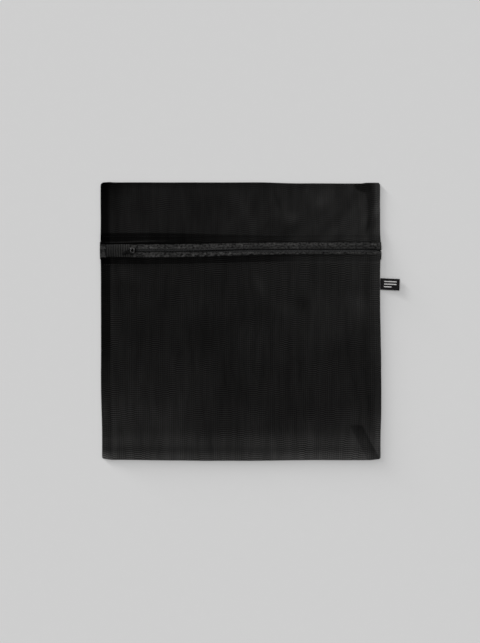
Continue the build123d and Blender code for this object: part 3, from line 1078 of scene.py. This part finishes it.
def bar_tacks():
    """Two dense bars of zigzag thread over the tape ends beside the elastic."""
    line = BAND_X0 - 0.9
    paths = []
    for middle, half in ((CHAIN_Y + 6.2, 2.8), (CHAIN_Y - 4.2, 2.6)):
        path = []
        for n in range(40):
            x = line + (0.85 if n % 2 else -0.85) + 0.1 * rough(n * 2.3, middle, 3, 24)
            y = middle + half * (n / 19.5 - 1)
            z = TAPE_MIDDLE_Z - drop(x) + 0.42 + 0.12 * math.sin(n * 2.1)
            path.append((x, y, z))
            path.append(((x + line) / 2, y + 0.05, z + 0.2))
        paths.append(path)
    return wires("bar_tack_threads", paths, 0.17, 5)


dress(bar_tacks(), THREAD_TACK, "bag", ["garage_bartacks"])


# ---------------- slider and pull

def rounded(outline, radius, steps=4):
    """Outline with its corners rounded."""
    result = []
    count = len(outline)
    for n in range(count):
        here = Vector(outline[n])
        back = Vector(outline[n - 1]) - here
        ahead = Vector(outline[(n + 1) % count]) - here
        cut = min(radius, back.length * 0.45, ahead.length * 0.45)
        a = here + back.normalized() * cut
        b = here + ahead.normalized() * cut
        for k in range(steps + 1):
            t = k / steps
            p = a * (1 - t) ** 2 + here * 2 * t * (1 - t) + b * t ** 2
            result.append((p.x, p.y))
    return result


def slider():
    """Slider with two plates, side flanges and a parting post."""
    bm = bmesh.new()
    side = [(4.25, 3.4), (-0.8, 3.5), (-2.6, 4.25), (-4.2, 3.3)]
    outline = rounded(side + [(x, -y) for x, y in reversed(side)], 0.7)
    outline = [(x + SLIDER_X, y + CHAIN_Y) for x, y in outline]
    solid_from_outline(bm, outline, 7.5, 8.2)
    solid_from_outline(bm, outline, 4.0, 4.7)
    for s in (-1, 1):
        flange = [(4.2, s * 3.38), (4.2, s * 2.65), (-1.4, s * 2.75), (-1.4, s * 3.48)]
        flange = [(x + SLIDER_X, y + CHAIN_Y) for x, y in flange]
        solid_from_outline(bm, flange, 5.85, 7.6)
    post = [(-3.85, 0), (-3.1, 0.6), (-2.35, 0), (-3.1, -0.6)]
    solid_from_outline(bm, [(x + SLIDER_X, y + CHAIN_Y) for x, y in post], 4.3, 7.9)
    return finish_solid("slider_shell", bm, 0.16)


def bail():
    """Arch over the slider that holds the pull's bar."""
    bm = bmesh.new()
    profile = []
    for k in range(13):
        turn = math.pi * k / 12
        x = -2.35 * math.cos(turn)
        z = 8.9 + 1.28 * math.sin(turn) ** 0.55
        profile.append(Vector((x, 0, z)))
    profile = [Vector((-2.45, 0, 8.0))] + profile + [Vector((2.45, 0, 8.0))]
    rings = []
    for n, p in enumerate(profile):
        heading = (profile[min(n + 1, len(profile) - 1)] - profile[max(n - 1, 0)]).normalized()
        out = Vector((-heading.z, 0, heading.x))
        ring = []
        for k in range(BAIL_SIDES):
            turn = TAU * k / BAIL_SIDES
            wide = 0.7 * math.copysign(abs(math.cos(turn)) ** 0.6, math.cos(turn))
            high = 0.3 * math.copysign(abs(math.sin(turn)) ** 0.6, math.sin(turn))
            q = p + out * high + Vector((0, wide, 0))
            ring.append(bm.verts.new(((q.x + PIVOT.x) * MM, (q.y + PIVOT.y) * MM, q.z * MM)))
        rings.append(ring)
    for a, b in zip(rings, rings[1:]):
        for k in range(BAIL_SIDES):
            m = (k + 1) % BAIL_SIDES
            bm.faces.new((a[k], a[m], b[m], b[k]))
    bm.faces.new(rings[0][::-1])
    bm.faces.new(rings[-1])
    bmesh.ops.recalc_face_normals(bm, faces=bm.faces)
    return link_solid("slider_bail", bm)


def pull():
    """Flat pull: an eye round the bail, a tapered plate and a raised grip."""
    bm = bmesh.new()
    outer = [(0.0, 2.75), (4.4, 2.75), (13.9, 2.45), (15.5, 1.3)]
    outer = rounded(outer + [(x, -y) for x, y in reversed(outer)], 1.0)
    eye = rounded([(0.45, 2.05), (3.6, 2.05), (3.6, -2.05), (0.45, -2.05)], 0.5)
    solid_from_outline(bm, outer, -0.42, 0.42, [eye[::-1]])
    grip = rounded([(7.2, 1.35), (12.9, 1.2), (12.9, -1.2), (7.2, -1.35)], 0.8)
    solid_from_outline(bm, grip, 0.3, 0.66)
    obj = finish_solid("pull_plate", bm, 0.15)
    place = Matrix.Translation(PIVOT * MM) @ Matrix.Rotation(math.radians(200), 4, "Z")
    place = place @ Matrix.Rotation(math.radians(2.5), 4, "Y")
    obj.data.transform(place)
    return obj


dress(slider(), SLIDER_METAL, "slider", ["slider_body"])
dress(bail(), SLIDER_METAL, "slider", ["slider_body"])
dress(pull(), PULL_METAL, "pull", ["pull_tab"])


# ---------------- label

LABEL_Y = 54.1
LABEL_OUT = 28.3
LABEL_HALF = 8.2
LABEL_SKEW = math.radians(-2.6)


def on_label(along, across, z):
    """Point of the label, from its distance from the seam and from its middle."""
    x = HALF + along * math.cos(LABEL_SKEW) - across * math.sin(LABEL_SKEW)
    y = LABEL_Y + along * math.sin(LABEL_SKEW) + across * math.cos(LABEL_SKEW)
    return max(x, HALF + 0.7), y, z


def label_curl(along):
    return 0.5 * smooth(along / 28) ** 2


def label_ribbon():
    """Ribbon folded in two with a soft round fold at its outer end."""
    end = LABEL_OUT
    ply = spread(0.6, end - 0.8, 1.2)
    profile = [(along, 1.36) for along in ply]
    profile += [(end - 0.4 + 0.34 * math.sin(t), 1.12 + 0.24 * math.cos(t))
                for t in spread(0.3, 2.85, 0.42)]
    profile += [(along, 0.88) for along in reversed(ply)]
    lengths = [0.0]
    for a, b in zip(profile, profile[1:]):
        lengths.append(lengths[-1] + math.dist(a, b))

    def place(n, across):
        along, z = profile[n]
        lift = label_curl(along) + 0.06 * rough(along, across, 9, 25)
        return on_label(along, across, z + lift), (lengths[n], across)

    return strip("label_ribbon", range(len(profile)), spread(-LABEL_HALF, LABEL_HALF, 0.82), place, 0.2)


def label_bars():
    """Generic woven mark: plain bars of raised white thread."""
    points, faces, uvs = [], [], []
    for x0, x1, y in ((6.0, 24.0, 3.8), (6.0, 24.0, 0.0), (6.0, 17.0, -3.8)):
        xs = spread(x0, x1, 0.45)
        profile = [(-0.75, 0.0), (-0.62, 0.09), (0.0, 0.12), (0.62, 0.09), (0.75, 0.0)]
        first = len(points)
        for along in xs:
            pinch = 0.6 if along in (xs[0], xs[-1]) else 1.0
            for across, lift in profile:
                wobble = 0.05 * rough(along * 3, y, 2, 26)
                z = 1.47 + lift * pinch + label_curl(along) + 0.06 * rough(along, y, 9, 25)
                points.append(on_label(along, y + across * pinch + wobble, z))
                uvs.append((along * MM, across * MM))
        wide = len(profile)
        for n in range(len(xs) - 1):
            for k in range(wide - 1):
                a = first + n * wide + k
                faces.append((a, a + wide, a + wide + 1, a + 1))
            a = first + n * wide
            faces.append((a + wide - 1, a + 2 * wide - 1, a + wide, a))
        faces.append(tuple(first + k for k in range(wide)))
        last = first + (len(xs) - 1) * wide
        faces.append(tuple(last + k for k in reversed(range(wide))))
    return new_object("label_bars", points, faces, uvs)


ribbon = dress(label_ribbon(), SATIN, "label", ["label_fold"])
bars = dress(label_bars(), SATIN_WHITE, "label", ["label_mark"])


# ---------------- floor, light, camera

def floor():
    reach = 40.0
    mesh = bpy.data.meshes.new("floor")
    mesh.from_pydata([(-reach, -reach, 0), (reach, -reach, 0), (reach, reach, 0), (-reach, reach, 0)],
                     [], [(0, 1, 2, 3)])
    obj = bpy.data.objects.new("floor", mesh)
    obj.location.z = -0.0002
    bpy.context.scene.collection.objects.link(obj)
    obj.data.materials.append(floor_material())


def sun(name, strength, softness, azimuth, elevation):
    """Far lamp; azimuth is where the light comes from, anticlockwise from +X."""
    data = bpy.data.lights.new(name, "SUN")
    data.energy = strength
    data.angle = math.radians(softness)
    obj = bpy.data.objects.new(name, data)
    a, e = math.radians(azimuth), math.radians(elevation)
    source = Vector((math.cos(a) * math.cos(e), math.sin(a) * math.cos(e), math.sin(e)))
    obj.rotation_euler = source.to_track_quat("Z", "Y").to_euler()
    bpy.context.scene.collection.objects.link(obj)


def light():
    world = bpy.data.worlds.new("studio")
    world.use_nodes = True
    sky = world.node_tree.nodes["Background"]
    sky.inputs["Color"].default_value = (1.0, 1.0, 1.0, 1.0)
    sky.inputs["Strength"].default_value = 0.42
    bpy.context.scene.world = world
    sun("key", 0.70, 40, 128, 55)
    sun("low_fill", 1.30, 8, 135, 11)
    sun("grazing_fill", 4.0, 7, 135, 5)


MM_PER_PIXEL = 1.434


def camera():
    data = bpy.data.cameras.new("camera")
    data.sensor_width = 36.0
    data.sensor_fit = "HORIZONTAL"
    data.lens = 85.0
    data.dof.use_dof = False
    data.clip_end = 50.0
    obj = bpy.data.objects.new("camera", data)
    view_width = 480 * MM_PER_PIXEL * MM
    obj.location = (-0.001, 0.0, view_width * data.lens / data.sensor_width + 0.005)
    bpy.context.scene.collection.objects.link(obj)
    bpy.context.scene.camera = obj


floor()
light()
camera()
bpy.context.scene.view_settings.view_transform = "Standard"
bpy.context.scene.view_settings.look = "None"
